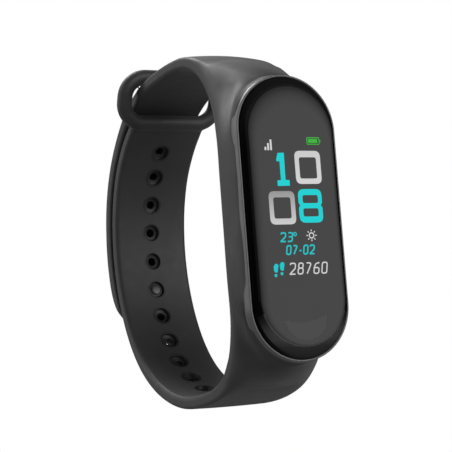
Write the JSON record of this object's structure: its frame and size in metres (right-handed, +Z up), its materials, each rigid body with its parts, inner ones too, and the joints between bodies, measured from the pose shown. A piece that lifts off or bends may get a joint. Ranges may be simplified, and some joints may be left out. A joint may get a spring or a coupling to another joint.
{
  "type": "fitness tracker band",
  "caption": "Worn activity tracker: a dark silicone wristband closed through a loop by a push stud, with an oval glass-fronted display capsule in a pocket on its front.",
  "frame": {"origin": "centre of the wrist opening, level with the middle of the display and midway across the strap", "axes": "+X across the strap, the way a wrist goes through it; the display faces -Y; +Z up along the display, towards the arm of the strap that carries the stud"},
  "size_m": [0.0214, 0.0596, 0.0622],
  "materials": {
    "silicone": "fine matte moulded silicone",
    "steel": "satin",
    "cap_steel": "satin, dark",
    "lens_glass": "polished, backed with black print",
    "adhesive": "plain",
    "display": "gloss",
    "foam": "foam",
    "flex_film": "satin film",
    "gold_plate": "plated",
    "case_black": "fine matte",
    "seal_rubber": "plain",
    "battery_pouch": "foil",
    "lead_red": "plain",
    "connector_white": "plain",
    "board_green": "satin",
    "chip_black": "plain",
    "tungsten": "sintered",
    "led_green": "clear",
    "window_dark": "polished, nearly opaque"
  },
  "bodies": {
    "wristband": {"wristband": "silicone"},
    "strap_tip": {"strap_tip": "silicone", "clasp_stud": "steel", "clasp_cap": "cap_steel"},
    "capsule": {"front_lens": "lens_glass", "lens_adhesive": "adhesive", "display_panel": "display", "backlight_tray": "steel", "display_foam": "foam", "display_flex": "flex_film", "touch_pad": "gold_plate", "touch_flex": "flex_film", "mid_frame": "case_black", "case_seal": "seal_rubber", "back_case": "case_black", "battery": "battery_pouch", "battery_leads": "lead_red", "battery_connector": "connector_white", "main_board": "board_green", "processor_chip": "chip_black", "memory_chip": "chip_black", "motion_sensor": "chip_black", "radio_shield": "steel", "antenna": "gold_plate", "motor_can": "steel", "motor_cover": "steel", "motor_shaft": "steel", "sensor_board": "board_green", "green_leds": "led_green", "photodiode": "chip_black", "light_baffle": "case_black", "sensor_window": "window_dark", "charging_contacts": "gold_plate"},
    "motor_rotor": {"motor_rotor": "tungsten"}
  },
  "joints": [
    {"name": "strap_tip_unfasten", "type": "hinge", "parent": "wristband", "child": "strap_tip", "pos_m": [0, 0.0269, 0.01065], "axis": [1, 0, 0], "range_deg": [0, 70], "stiffness_Nm_per_rad": 0.02, "springref_deg": -5.73},
    {"name": "capsule_release", "type": "slide", "parent": "wristband", "child": "capsule", "axis": [0, -1, 0], "range_m": [0, 0.025]},
    {"name": "motor_spin", "type": "hinge", "parent": "capsule", "child": "motor_rotor", "pos_m": [0, -0.0263, -0.0173], "axis": [0, 1, 0], "continuous": true}
  ]
}
